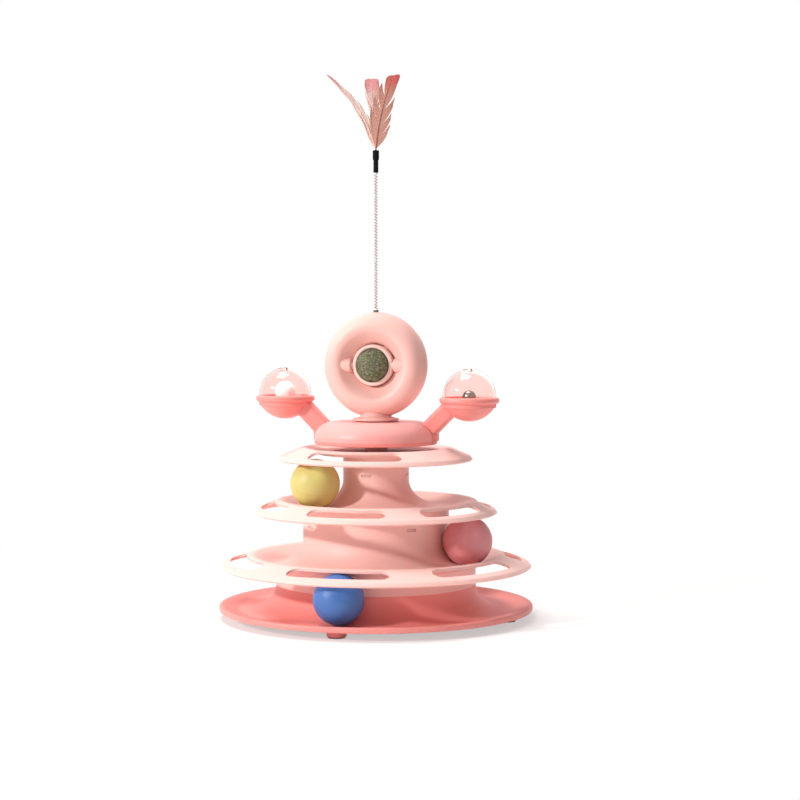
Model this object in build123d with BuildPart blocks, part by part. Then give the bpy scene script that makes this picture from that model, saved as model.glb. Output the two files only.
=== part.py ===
from build123d import *
import os
from math import cos, dist, pi, radians, sin, sqrt

# Cat ball track tower, in millimetres. Z is the tower's axis, Z = 0 the floor, and the front faces -Y.
# Balls run in three stacked ring tracks. A spinner with two rattle arms turns on the roof and carries
# a round head with a catnip ring, and a feather wand on a long coil spring stands on the head.

os.makedirs("parts", exist_ok=True)

# Fits shared by all pieces
overrun = 1.0  # how far a cut runs past the face that it leaves
fit_gap = 0.2  # between mouldings that slide together
rest_gap = 0.3  # between curved faces that lie on each other
running_gap = 0.05  # radial clearance of a turning pin
thrust_gap = 0.1  # axial clearance of a turning face
screw_gap = 0.05  # radial clearance of a screw in its hole

# Balls
ball_diameter = 38.5
ball_wall = 1.2
blue_ball_angle = -89.4  # about straight ahead
pink_ball_angle = -7.0
yellow_ball_angle = -131.6

# Base tray
foot_height = 5.5
foot_radius = 7.5
foot_inset = 18.0  # from the tray's rim to the middle of a foot
foot_count = 4
pad_thickness = 1.2
pad_radius = 6.5
tray_wall = 2.2
tray_reach = 25.2  # from the middle of the track to the rim
tray_rim_rise = 2.8
tray_lip_width = 3.2
tray_lip_depth = 4.4
tray_lip_round = 1.4
tray_flat = 10.0  # level strip of floor outside the middle of the track

# Columns and tracks, from the lowest level up
tier_wall = 1.9
lower_column_radius = 79.0
middle_column_radius = 57.7
upper_column_radius = 26.0
lower_side_gap = 0.6  # from the ball to the column
middle_side_gap = 0.8
upper_side_gap = 10.1
lower_flare_height = 19.0  # height of the curved foot of each column
middle_flare_height = 19.4
upper_flare_height = 20.5
lower_headroom = 4.2  # from the top of the ball to the crest of the roof above it
middle_headroom = 11.4
upper_headroom = 8.0

# Brims of the tiers
lower_crest_reach = 20.7  # from the middle of the tier's own track to its crest
middle_crest_reach = 20.9
lower_crest_rise = 6.7  # from the tier's own track floor to its crest
middle_crest_rise = 5.5
top_crest_radius = 58.5
top_crest_rise = 4.1
lower_brim_width = 24.5
middle_brim_width = 19.7
top_brim_width = 18.1
lower_brim_drop = 9.9
middle_brim_drop = 10.6
top_brim_drop = 9.7
brim_lip_width = 1.8
brim_lip_height = 2.5
brim_lip_round = 2.6
crest_round = 8.0
valley_round = 18.0
valley_flat = 4.5

# Slots in the brims
lower_slot_inset = 3.5  # from the crest
middle_slot_inset = 3.6
top_slot_inset = 1.2
lower_slot_width = 13.5
middle_slot_width = 11.0
top_slot_width = 13.5
lower_slot_arc = 35.5  # degrees between the centres of the round ends
middle_slot_arc = 34.5
top_slot_arc = 55.0
track_slot_count = 6
top_slot_count = 2
slot_turn = -89.0  # where the slots and the feet start, round the tower's axis

# Spigots and latches between the levels
spigot_root = 5.0  # how far the spigot reaches down inside its column
lower_spigot_height = 13.0
middle_spigot_height = 15.0
upper_spigot_height = 9.0
lower_latch_rise = 8.0
middle_latch_rise = 10.6
upper_latch_rise = 4.6
latch_count = 4
latch_window_width = 8.0
latch_window_height = 1.8
latch_tab_width = 7.2
latch_tab_height = 1.0
latch_tab_proud = 1.5

# Roof deck and spindle
deck_radius = 44.0
deck_round = 9.0
boss_radius = 9.0
boss_rise = 1.6
boss_depth = 8.0
spindle_radius = 4.0
spindle_head_radius = 7.5
spindle_head_height = 2.0
washer_thickness = 1.0
washer_radius = 8.0
retaining_screw_radius = 1.5
retaining_screw_length = 12.0
retaining_screw_head_radius = 3.2
retaining_screw_head_height = 2.0

# Spinner
spinner_radius = 48.6
spinner_gap = 2.4  # from the roof's crest line to the underside of the plate
spinner_plate = 3.0
spinner_plate_round = 1.2
hub_radius = 8.0
hub_height = 9.0
cover_height = 14.5
cover_wall = 2.0
cover_round_width = 15.0
cover_round_height = 13.0
collar_radius = 13.2
collar_depth = 4.5
cover_screw_circle = 33.0
cover_screw_count = 4
cover_boss_radius = 3.6
small_screw_radius = 1.3
small_screw_head_radius = 2.5
small_screw_head_height = 1.8
small_screw_length = 9.0

# Arms and rattle bowls
arm_reach = 76.0  # from the tower's axis to the axis of a bowl
arm_width = 13.5
arm_depth = 13.0
arm_round = 3.0
arm_root_width = 12.6
arm_root_overhang = 2.0  # past the spinner's rim
arm_elbow_rise = 6.0
arm_root_top = 10.0
arm_bar_inset = 7.95  # from the elbow inwards to the start of the bar's middle line
arm_bar_lift = 1.6  # from the elbow up to that start
arm_meet_drop = 0.85  # from the upper edge of the bowl down to the middle of the bar's end
bar_end_share = 0.78  # where the bar ends, as a share of the bowl's radius
flange_rise = 34.5  # from the plate's top to the top of the bowl's flange
flange_radius = 23.4
flange_thickness = 5.0
flange_round = 2.2
step_radius = 21.0
step_height = 3.0
bowl_radius = 19.6
bowl_depth = 10.8
bowl_wall = 2.0
bowl_hole_radius = 1.6
dome_seat_depth = 2.5
bowl_bore_radius = 18.7
rattle_floor_depth = 5.5  # from the flange's top to the floor
rattle_floor_thickness = 2.0
floor_ledge = 2.0
dome_radius = 21.0
dome_wall = 1.5
dome_lift = 1.2  # straight stretch of the dome above the flange
petal_count = 5
petal_circle = 3.9
petal_half_length = 2.3
petal_half_width = 0.9

# Rattles
rattle_ball_diameter = 16.4
rattle_ball_wall = 1.0
bell_diameter = 10.8
bell_wall = 0.6
bell_slot_width = 1.0
bell_band_height = 0.9
bell_band_proud = 0.3
pea_diameter = 3.2

# Neck and round head
neck_height = 3.1
neck_shoulder_radius = 14.5
neck_shoulder_height = 1.0
neck_flange_radius = 18.4
neck_flange_edge = 1.2
neck_cone_height = 1.6
neck_waist_radius = 12.4
neck_waist_rise = 6.0
neck_plug_radius = 10.8
neck_plug_depth = 5.0
neck_plug_wall = 2.0
neck_post_radius = 6.0
neck_post_rise = 7.0
donut_radius = 41.6
donut_depth = 30.0
donut_wall = 2.2
donut_crest_radius = 30.4
donut_throat_radius = 17.0
donut_throat_length = 9.0
donut_throat_round = 3.0
donut_crest_round = 6.0
donut_crest_flat = 3.0
donut_screw_circle = 29.0
donut_screw_count = 4
donut_boss_radius = 4.2
donut_screw_seat = 5.0
donut_screw_length = 11.0
dish_wall = 2.2  # of the dish behind the catnip ring

# Catnip ring
ring_forward = 7.5  # from the middle plane of the head to the ring's axis
ring_radius = 16.3
ring_thickness = 6.0
ring_round = 1.4
trunnion_radius = 3.0
trunnion_reach = 25.4
trunnion_round = 1.2
saddle_radius = 5.6  # bosses that the trunnions turn in
saddle_start = 17.1
saddle_reach = 28.0
saddle_round = 1.5
catnip_diameter = 27.4
catnip_gap = 0.15

# Wand
socket_radius = 2.1
socket_height = 1.6
socket_plug_radius = 1.5
socket_plug_length = 9.0
spring_length = 108.0
spring_diameter = 3.0
spring_wire = 0.9
spring_turns = 46
spring_end_rise = 1.5
sleeve_length = 17.4
sleeve_radius = 1.95
sleeve_grip_length = 7.5
sleeve_grip_radius = 2.5
sleeve_round = 0.5

# Feathers
feather_turn = 17.0
feather_thickness = 0.7
feather_spacing = 1.1
quill_width = 1.1
front_feather_length = 57.0
front_feather_lean = 17.5
front_feather_bow = 3.5
front_feather_half_width = 9.0
back_feather_length = 53.5
back_feather_lean = -4.0
back_feather_bow = 2.0
back_feather_half_width = 6.5
slim_feather_length = 57.5
slim_feather_lean = -38.0
slim_feather_bow = -9.0
slim_feather_half_width = 3.0
vane_station_shares = (0.10, 0.32, 0.58, 0.82, 0.95)
broad_width_shares = (0.10, 0.85, 1.00, 0.80, 0.52)
slim_width_shares = (0.10, 0.85, 1.00, 0.72, 0.30)

# Places worked out from the sizes above
ball_radius = ball_diameter / 2
lower_track_radius = lower_column_radius + ball_radius + lower_side_gap
middle_track_radius = middle_column_radius + ball_radius + middle_side_gap
upper_track_radius = upper_column_radius + ball_radius + upper_side_gap
tray_radius = lower_track_radius + tray_reach
lower_floor_z = foot_height + tray_wall
lower_crest_z = lower_floor_z + ball_diameter + lower_headroom
middle_floor_z = lower_crest_z - lower_crest_rise
middle_crest_z = middle_floor_z + ball_diameter + middle_headroom
upper_floor_z = middle_crest_z - middle_crest_rise
top_crest_z = upper_floor_z + ball_diameter + upper_headroom
deck_z = top_crest_z - top_crest_rise
lower_joint_z = lower_floor_z + lower_flare_height
middle_joint_z = middle_floor_z + middle_flare_height
upper_joint_z = upper_floor_z + upper_flare_height
lower_latch_z = lower_joint_z + lower_latch_rise
middle_latch_z = middle_joint_z + middle_latch_rise
upper_latch_z = upper_joint_z + upper_latch_rise
plate_z = top_crest_z + spinner_gap
plate_top_z = plate_z + spinner_plate
boss_top_z = plate_z - boss_rise
hub_z = boss_top_z + washer_thickness + thrust_gap
hub_top_z = hub_z + hub_height
cover_top_z = plate_top_z + cover_height
flange_z = plate_top_z + flange_rise
rattle_floor_z = flange_z - rattle_floor_depth
dome_centre_z = flange_z + dome_lift
donut_z = cover_top_z + neck_height + donut_radius
socket_z = donut_z + donut_radius
spring_z = socket_z + socket_height
sleeve_z = spring_z + spring_length
feather_z = sleeve_z + sleeve_length
front_latch_turn = -90.0
diagonal_latch_turn = -45.0
half_turn = 180.0
quarter_turn = 90.0


def save(piece, name):
    """Names a finished piece and writes it to its own file."""
    piece.part.label = name
    export_step(piece.part, f"parts/{name}.step")


# Base tray: a shallow dish with a rolled lip, whose middle rises into the lowest column.
spigot_radius = lower_column_radius - tier_wall - fit_gap
with BuildPart() as base_tray:
    with BuildSketch(Plane.XZ):
        with BuildLine():
            rim_z = lower_floor_z + tray_rim_rise
            underside_z = lower_floor_z - tray_wall
            lip_z = rim_z - tray_lip_depth
            flat_end = lower_track_radius + tray_flat
            FilletPolyline(
                (lower_track_radius, lower_floor_z),
                (flat_end, lower_floor_z),
                (tray_radius - tray_lip_width, rim_z),
                (tray_radius, rim_z),
                (tray_radius, lip_z),
                (tray_radius - tray_lip_width, lip_z),
                (flat_end, underside_z),
                (lower_track_radius, underside_z),
                radius=[valley_round, *[tray_lip_round] * 4, valley_round],
            )
            flare_width = lower_track_radius - lower_column_radius
            flare_centre = (lower_track_radius, lower_joint_z)
            EllipticalCenterArc(
                flare_centre, flare_width, lower_flare_height, start_angle=half_turn, arc_size=quarter_turn
            )
            EllipticalCenterArc(
                flare_centre,
                flare_width + tray_wall,
                lower_flare_height + tray_wall,
                start_angle=half_turn,
                arc_size=quarter_turn,
            )
            Line(
                (lower_column_radius, lower_joint_z),
                (lower_column_radius - tray_wall, lower_joint_z),
            )
        make_face()
        with Locations((spigot_radius - tray_wall, lower_joint_z - spigot_root)):
            Rectangle(tray_wall, spigot_root + lower_spigot_height, align=(Align.MIN, Align.MIN))
            spigot_root_width = lower_column_radius - spigot_radius + tray_wall / 2
            Rectangle(spigot_root_width, spigot_root, align=(Align.MIN, Align.MIN))
    revolve(axis=Axis.Z)
    with Locations((0, 0, lower_latch_z)):
        with PolarLocations(spigot_radius, latch_count, front_latch_turn):
            Box(2 * latch_tab_proud, latch_tab_width, latch_tab_height)
    with BuildSketch(Plane.XY.offset(pad_thickness)):
        with PolarLocations(tray_radius - foot_inset, foot_count, slot_turn):
            Circle(foot_radius)
    extrude(amount=foot_height + tray_wall / 2 - pad_thickness)
save(base_tray, "base_tray")

# Foot pads: thin rubber discs under the four foot bosses.
with BuildPart() as foot_pads:
    with BuildSketch(Plane.XY):
        with PolarLocations(tray_radius - foot_inset, foot_count, slot_turn):
            Circle(pad_radius)
    extrude(amount=pad_thickness)
save(foot_pads, "foot_pads")


def build_tier(
    skirt_radius, skirt_z, window_z, window_turn,
    track_radius, floor_z, crest_reach, crest_z, brim_width, brim_drop,
    column_radius, joint_z, spigot_height, tab_z, tab_turn,
    slot_inset, slot_width, slot_arc,
):
    """A tier: a skirt that slides over the spigot below, a slotted brim, a track and a spigoted column."""
    crest_radius = track_radius + crest_reach
    edge_radius = crest_radius + brim_width
    edge_z = crest_z - brim_drop
    tier_spigot_radius = column_radius - tier_wall - fit_gap

    def wall_height(radius):
        """Height of the tier's upper face at a radius: on its flare, its floor or the slope to its crest."""
        if radius < track_radius:
            inward_share = min((track_radius - radius) / (track_radius - column_radius), 1)
            return joint_z - (joint_z - floor_z) * sqrt(1 - inward_share**2)
        flat_end = track_radius + valley_flat
        slope_share = min(max((radius - flat_end) / (crest_radius - flat_end), 0), 1)
        return floor_z + slope_share * (crest_z - floor_z)

    skirt_height = wall_height(skirt_radius - tier_wall / 2) - tier_wall / 2 - skirt_z
    with BuildPart() as tier:
        with BuildSketch(Plane.XZ):
            with BuildLine():
                FilletPolyline(
                    (edge_radius, edge_z),
                    (edge_radius - brim_lip_width, edge_z + brim_lip_height),
                    (crest_radius, crest_z),
                    (track_radius + valley_flat, floor_z),
                    (track_radius, floor_z),
                    radius=[brim_lip_round, crest_round, valley_round],
                )
                offset(amount=tier_wall, side=Side.LEFT)
            make_face()
            with BuildLine():
                flare = (track_radius - column_radius, joint_z - floor_z)
                for width, height in (flare, (flare[0] + tier_wall, flare[1] + tier_wall)):
                    EllipticalCenterArc(
                        (track_radius, joint_z), width, height, start_angle=half_turn, arc_size=quarter_turn
                    )
                Line((track_radius, floor_z), (track_radius, floor_z - tier_wall))
                Line((column_radius, joint_z), (column_radius - tier_wall, joint_z))
            make_face()
            with Locations((skirt_radius - tier_wall, skirt_z)):
                Rectangle(tier_wall, skirt_height, align=(Align.MIN, Align.MIN))
            with Locations((tier_spigot_radius - tier_wall, joint_z - spigot_root)):
                Rectangle(tier_wall, spigot_root + spigot_height, align=(Align.MIN, Align.MIN))
                root_width = column_radius - tier_spigot_radius + tier_wall / 2
                Rectangle(root_width, spigot_root, align=(Align.MIN, Align.MIN))
        revolve(axis=Axis.Z)
        with BuildSketch(Plane.XY.offset(edge_z)):
            slot_radius = crest_radius + slot_inset + slot_width / 2
            slot_line = CenterArc((0, 0), slot_radius, -slot_arc / 2, slot_arc)
            with PolarLocations(0, track_slot_count, slot_turn):
                SlotArc(slot_line, slot_width)
        extrude(amount=brim_drop + overrun, mode=Mode.SUBTRACT)
        with Locations((0, 0, window_z)):
            with PolarLocations(skirt_radius - tier_wall / 2, latch_count, window_turn):
                Box(tier_wall + 2 * overrun, latch_window_width, latch_window_height, mode=Mode.SUBTRACT)
        with Locations((0, 0, tab_z)):
            with PolarLocations(tier_spigot_radius, latch_count, tab_turn):
                Box(2 * latch_tab_proud, latch_tab_width, latch_tab_height)
    return tier


# Lower tier: the roof of the first track and the floor of the second.
lower_tier = build_tier(
    skirt_radius=lower_column_radius, skirt_z=lower_joint_z,
    window_z=lower_latch_z, window_turn=front_latch_turn,
    track_radius=middle_track_radius, floor_z=middle_floor_z,
    crest_reach=lower_crest_reach, crest_z=lower_crest_z,
    brim_width=lower_brim_width, brim_drop=lower_brim_drop,
    column_radius=middle_column_radius, joint_z=middle_joint_z, spigot_height=middle_spigot_height,
    tab_z=middle_latch_z, tab_turn=diagonal_latch_turn,
    slot_inset=lower_slot_inset, slot_width=lower_slot_width, slot_arc=lower_slot_arc,
)
save(lower_tier, "lower_tier")

# Middle tier: the roof of the second track and the floor of the third.
middle_tier = build_tier(
    skirt_radius=middle_column_radius, skirt_z=middle_joint_z,
    window_z=middle_latch_z, window_turn=diagonal_latch_turn,
    track_radius=upper_track_radius, floor_z=upper_floor_z,
    crest_reach=middle_crest_reach, crest_z=middle_crest_z,
    brim_width=middle_brim_width, brim_drop=middle_brim_drop,
    column_radius=upper_column_radius, joint_z=upper_joint_z, spigot_height=upper_spigot_height,
    tab_z=upper_latch_z, tab_turn=front_latch_turn,
    slot_inset=middle_slot_inset, slot_width=middle_slot_width, slot_arc=middle_slot_arc,
)
save(middle_tier, "middle_tier")

# Top tier: a slotted roof over the third track, dished to a deck with a boss for the spindle.
with BuildPart() as top_tier:
    top_edge_radius = top_crest_radius + top_brim_width
    top_edge_z = top_crest_z - top_brim_drop
    with BuildSketch(Plane.XZ):
        with BuildLine():
            FilletPolyline(
                (top_edge_radius, top_edge_z),
                (top_edge_radius - brim_lip_width, top_edge_z + brim_lip_height),
                (top_crest_radius, top_crest_z),
                (deck_radius, deck_z),
                (spindle_radius + running_gap, deck_z),
                radius=[brim_lip_round, crest_round, deck_round],
            )
            offset(amount=tier_wall, side=Side.LEFT)
        make_face()
        with Locations((upper_column_radius - tier_wall, upper_joint_z)):
            Rectangle(tier_wall, deck_z - tier_wall / 2 - upper_joint_z, align=(Align.MIN, Align.MIN))
        with Locations((spindle_radius + running_gap, deck_z - boss_depth)):
            boss_width = boss_radius - spindle_radius - running_gap
            Rectangle(boss_width, boss_top_z - deck_z + boss_depth, align=(Align.MIN, Align.MIN))
    revolve(axis=Axis.Z)
    with BuildSketch(Plane.XY.offset(top_edge_z)):
        top_slot_radius = top_crest_radius + top_slot_inset + top_slot_width / 2
        top_slot_line = CenterArc((0, 0), top_slot_radius, -top_slot_arc / 2, top_slot_arc)
        with PolarLocations(0, top_slot_count, slot_turn):
            SlotArc(top_slot_line, top_slot_width)
    extrude(amount=top_brim_drop + overrun, mode=Mode.SUBTRACT)
    with Locations((0, 0, upper_latch_z)):
        with PolarLocations(upper_column_radius - tier_wall / 2, latch_count, front_latch_turn):
            Box(tier_wall + 2 * overrun, latch_window_width, latch_window_height, mode=Mode.SUBTRACT)
save(top_tier, "top_tier")

# Spindle: a headed pin pressed up through the boss of the roof, drilled for the retaining screw.
spindle_top_z = hub_top_z + thrust_gap
with BuildPart() as spindle:
    with BuildSketch(Plane.XY.offset(deck_z - boss_depth - spindle_head_height)):
        Circle(spindle_head_radius)
    extrude(amount=spindle_head_height)
    with BuildSketch(Plane.XY.offset(deck_z - boss_depth)):
        Circle(spindle_radius)
    extrude(amount=spindle_top_z - deck_z + boss_depth)
    with BuildSketch(Plane.XY.offset(spindle_top_z)):
        Circle(retaining_screw_radius + screw_gap)
    extrude(amount=-retaining_screw_length, mode=Mode.SUBTRACT)
save(spindle, "spindle")

# Thrust washer: the spinner's hub runs on it.
with BuildPart() as thrust_washer:
    with BuildSketch(Plane.XY.offset(boss_top_z)):
        Circle(washer_radius)
        Circle(spindle_radius + running_gap, mode=Mode.SUBTRACT)
    extrude(amount=washer_thickness)
save(thrust_washer, "thrust_washer")

# Retaining washer and screw: they keep the hub on the spindle.
with BuildPart() as retaining_washer:
    with BuildSketch(Plane.XY.offset(spindle_top_z)):
        Circle(washer_radius)
        Circle(retaining_screw_radius + screw_gap, mode=Mode.SUBTRACT)
    extrude(amount=washer_thickness)
save(retaining_washer, "retaining_washer")

with BuildPart() as retaining_screw:
    with BuildSketch(Plane.XY.offset(spindle_top_z + washer_thickness)):
        Circle(retaining_screw_head_radius)
    extrude(amount=retaining_screw_head_height)
    with BuildSketch(Plane.XY.offset(spindle_top_z + washer_thickness)):
        Circle(retaining_screw_radius)
    extrude(amount=-(retaining_screw_length - overrun))
save(retaining_screw, "retaining_screw")

# Spinner base: the round plate under the cover, with the hub that turns on the spindle.
cover_screw_turn = quarter_turn / 2
arm_root_x = spinner_radius + arm_root_overhang - arm_root_width / 2
with BuildPart() as spinner_base:
    with BuildSketch(Plane.XY.offset(plate_z)):
        Circle(spinner_radius)
    extrude(amount=spinner_plate)
    fillet(spinner_base.edges().sort_by(Axis.Z)[0], spinner_plate_round)
    with BuildSketch(Plane.XY.offset(hub_z)):
        Circle(hub_radius)
    extrude(amount=hub_height)
    with BuildSketch(Plane.XY.offset(hub_z - overrun)):
        Circle(spindle_radius + running_gap)
    extrude(amount=hub_height + 2 * overrun, mode=Mode.SUBTRACT)
    with BuildSketch(Plane.XY.offset(plate_z)):
        with PolarLocations(cover_screw_circle, cover_screw_count, cover_screw_turn):
            Circle(small_screw_radius + screw_gap)
        with GridLocations(2 * arm_root_x, 0, 2, 1):
            Circle(small_screw_radius + screw_gap)
    extrude(amount=spinner_plate, mode=Mode.SUBTRACT)
    with BuildSketch(Plane.XY.offset(plate_z)):
        with PolarLocations(cover_screw_circle, cover_screw_count, cover_screw_turn):
            Circle(small_screw_head_radius + fit_gap)
        with GridLocations(2 * arm_root_x, 0, 2, 1):
            Circle(small_screw_head_radius + fit_gap)
    extrude(amount=small_screw_head_height, mode=Mode.SUBTRACT)
save(spinner_base, "spinner_base")


def build_arm_bar(grow):
    """The root block and the sloping bar of the left arm, grown by a margin when it cuts its notch."""
    start_x = spinner_radius + arm_root_overhang - arm_bar_inset
    bar_start = Vector(-start_x, 0, plate_top_z + arm_elbow_rise + arm_bar_lift)
    bar_end = Vector(bowl_radius * bar_end_share - arm_reach, 0, bowl_z - arm_meet_drop)
    along = bar_end - bar_start
    with BuildPart() as bar:
        with BuildSketch(Plane.XY.offset(plate_top_z)):
            with Locations((-arm_root_x, 0)):
                RectangleRounded(arm_root_width + 2 * grow, arm_depth + 2 * grow, arm_round)
        extrude(amount=arm_root_top)
        with BuildSketch(Plane(origin=bar_start, x_dir=(0, 1, 0), z_dir=along)):
            RectangleRounded(arm_depth + 2 * grow, arm_width + 2 * grow, arm_round)
        extrude(amount=along.length)
    return bar


# Arms: each is one moulding with its rattle bowl, which has a flange, a step, a round bottom with a small
# hole, a seat for the dome and a ledge for the floor. The right arm mirrors the left one.
bowl_axis = Axis((-arm_reach, 0, 0), (0, 0, 1))
bowl_plane = Plane(origin=(-arm_reach, 0, 0), x_dir=(1, 0, 0), z_dir=(0, -1, 0))
flange_low_z = flange_z - flange_thickness
bowl_z = flange_low_z - step_height
bowl_bottom_z = bowl_z - bowl_depth
with BuildPart() as bowl_hollow:
    ledge_z = rattle_floor_z - rattle_floor_thickness
    ledge_radius = bowl_bore_radius - floor_ledge
    seat_z = flange_z - dome_seat_depth
    seat_radius = dome_radius + fit_gap
    with BuildSketch(bowl_plane):
        with BuildLine():
            Polyline(
                (0, bowl_bottom_z + bowl_wall),
                (0, flange_z),
                (seat_radius, flange_z),
                (seat_radius, seat_z),
                (bowl_bore_radius, seat_z),
                (bowl_bore_radius, ledge_z),
                (ledge_radius, ledge_z),
            )
            TangentArc((0, bowl_bottom_z + bowl_wall), (ledge_radius, ledge_z), tangent=(1, 0))
        make_face()
    revolve(axis=bowl_axis)
with BuildPart() as left_arm:
    with BuildSketch(bowl_plane):
        with BuildLine():
            FilletPolyline(
                (0, flange_z),
                (flange_radius, flange_z),
                (flange_radius, flange_low_z),
                (step_radius, flange_low_z),
                (step_radius, bowl_z),
                (bowl_radius, bowl_z),
                radius=[flange_round, flange_round, 0, 0],
            )
            TangentArc((0, bowl_bottom_z), (bowl_radius, bowl_z), tangent=(1, 0))
            Line((0, bowl_bottom_z), (0, flange_z))
        make_face()
    revolve(axis=bowl_axis)
    add(build_arm_bar(0).part)
    add(bowl_hollow.part, mode=Mode.SUBTRACT)
    with BuildSketch(Plane.XY.offset(bowl_bottom_z - overrun)):
        with Locations((-arm_reach, 0)):
            Circle(bowl_hole_radius)
    extrude(amount=bowl_wall + 2 * overrun, mode=Mode.SUBTRACT)
    with BuildSketch(Plane.XY.offset(plate_top_z)):
        with Locations((-arm_root_x, 0)):
            Circle(small_screw_radius + screw_gap)
    extrude(amount=small_screw_length, mode=Mode.SUBTRACT)
save(left_arm, "left_arm")
with BuildPart() as right_arm:
    mirror(left_arm.part, about=Plane.YZ)
save(right_arm, "right_arm")


def build_rattle_floor(side):
    """The disc that the rattle lies on, resting on the ledge inside the bowl."""
    with BuildPart() as disc:
        with BuildSketch(Plane.XY.offset(rattle_floor_z - rattle_floor_thickness)):
            with Locations((side * arm_reach, 0)):
                Circle(bowl_bore_radius - fit_gap)
        extrude(amount=rattle_floor_thickness)
    return disc


def build_dome(side):
    """The clear dome: a hemisphere on a short straight foot, with a ring of petal slots round its pole."""
    dome_axis = Axis((side * arm_reach, 0, 0), (0, 0, 1))
    foot_z = flange_z - dome_seat_depth
    inner_radius = dome_radius - dome_wall
    with BuildPart() as dome:
        with BuildSketch(Plane(origin=(side * arm_reach, 0, 0), x_dir=(1, 0, 0), z_dir=(0, -1, 0))):
            with BuildLine():
                CenterArc((0, dome_centre_z), dome_radius, 0, quarter_turn)
                CenterArc((0, dome_centre_z), inner_radius, 0, quarter_turn)
                Polyline(
                    (dome_radius, dome_centre_z),
                    (dome_radius, foot_z),
                    (inner_radius, foot_z),
                    (inner_radius, dome_centre_z),
                )
                Line((0, dome_centre_z + inner_radius), (0, dome_centre_z + dome_radius))
            make_face()
        revolve(axis=dome_axis)
        with BuildSketch(Plane.XY.offset(dome_centre_z + dome_radius / 2)):
            with Locations((side * arm_reach, 0)):
                with PolarLocations(petal_circle, petal_count, quarter_turn):
                    Ellipse(petal_half_length, petal_half_width)
        extrude(amount=dome_radius, mode=Mode.SUBTRACT)
    return dome


# Floors and domes, one of each on each side of the spinner.
for side, side_name in ((-1, "left"), (1, "right")):
    save(build_rattle_floor(side), f"{side_name}_floor")
    save(build_dome(side), f"{side_name}_dome")

# Spinner cover: a rounded shell over the plate, notched for the arms, with a collar for the neck.
with BuildPart() as spinner_cover:
    with BuildSketch(Plane.XZ):
        with BuildLine():
            cover_flat_radius = spinner_radius - cover_round_width
            cover_side_z = cover_top_z - cover_round_height
            for inset in (0, cover_wall):
                EllipticalCenterArc(
                    (cover_flat_radius, cover_side_z),
                    cover_round_width - inset,
                    cover_round_height - inset,
                    arc_size=quarter_turn,
                )
            Polyline(
                (spinner_radius, cover_side_z),
                (spinner_radius, plate_top_z),
                (spinner_radius - cover_wall, plate_top_z),
                (spinner_radius - cover_wall, cover_side_z),
            )
            Polyline(
                (cover_flat_radius, cover_top_z),
                (neck_plug_radius + fit_gap, cover_top_z),
                (neck_plug_radius + fit_gap, cover_top_z - cover_wall),
                (cover_flat_radius, cover_top_z - cover_wall),
            )
        make_face()
        with Locations((neck_plug_radius + fit_gap, cover_top_z)):
            collar_wall = collar_radius - neck_plug_radius - fit_gap
            Rectangle(collar_wall, collar_depth, align=(Align.MIN, Align.MAX))
    revolve(axis=Axis.Z)
    with BuildSketch(Plane.XY.offset(plate_top_z)):
        with PolarLocations(cover_screw_circle, cover_screw_count, cover_screw_turn):
            Circle(cover_boss_radius)
    extrude(amount=cover_height - cover_wall / 2)
    with BuildSketch(Plane.XY.offset(plate_top_z)):
        with PolarLocations(cover_screw_circle, cover_screw_count, cover_screw_turn):
            Circle(small_screw_radius + screw_gap)
    extrude(amount=small_screw_length, mode=Mode.SUBTRACT)
    arm_notch = build_arm_bar(fit_gap)
    add(arm_notch.part, mode=Mode.SUBTRACT)
    mirror(arm_notch.part, about=Plane.YZ, mode=Mode.SUBTRACT)
save(spinner_cover, "spinner_cover")


def build_upright_screws(places):
    """Small screws driven up through the plate, one at each place, with their heads sunk in the plate."""
    with BuildPart() as screws:
        with BuildSketch(Plane.XY.offset(plate_z)):
            with places:
                Circle(small_screw_head_radius)
        extrude(amount=small_screw_head_height)
        with BuildSketch(Plane.XY.offset(plate_z + small_screw_head_height)):
            with places:
                Circle(small_screw_radius)
        extrude(amount=small_screw_length)
    return screws


# Screws that hold the cover and the two arm roots to the plate.
cover_screw_places = PolarLocations(cover_screw_circle, cover_screw_count, cover_screw_turn)
save(build_upright_screws(cover_screw_places), "spinner_screws")
arm_screw_places = GridLocations(2 * arm_root_x, 0, 2, 1)
save(build_upright_screws(arm_screw_places), "arm_screws")

# Rattle ball: a light hollow ball that rolls on the left floor.
with BuildPart() as rattle_ball:
    rattle_ball_z = rattle_floor_z + rest_gap + rattle_ball_diameter / 2
    with Locations((-arm_reach, 0, rattle_ball_z)):
        Sphere(rattle_ball_diameter / 2)
        Sphere(rattle_ball_diameter / 2 - rattle_ball_wall, mode=Mode.SUBTRACT)
save(rattle_ball, "rattle_ball")

# Jingle bell: a thin steel shell with a band round its middle and crossed slots below, and a pea inside.
bell_radius = bell_diameter / 2
bell_z = rattle_floor_z + rest_gap + bell_radius
with BuildPart() as rattle_bell:
    with Locations((arm_reach, 0, bell_z)):
        Sphere(bell_radius)
        Cylinder(bell_radius + bell_band_proud, bell_band_height)
        Sphere(bell_radius - bell_wall, mode=Mode.SUBTRACT)
    with BuildSketch(Plane.XY.offset(bell_z - bell_radius - overrun)):
        with Locations((arm_reach, 0)):
            Rectangle(bell_diameter - 2 * bell_wall, bell_slot_width)
            Rectangle(bell_slot_width, bell_diameter - 2 * bell_wall)
    extrude(amount=bell_radius - bell_band_height + overrun, mode=Mode.SUBTRACT)
save(rattle_bell, "rattle_bell")

with BuildPart() as bell_pea:
    with Locations((arm_reach, 0, bell_z - bell_radius + bell_wall + rest_gap + pea_diameter / 2)):
        Sphere(pea_diameter / 2)
save(bell_pea, "bell_pea")


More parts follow.
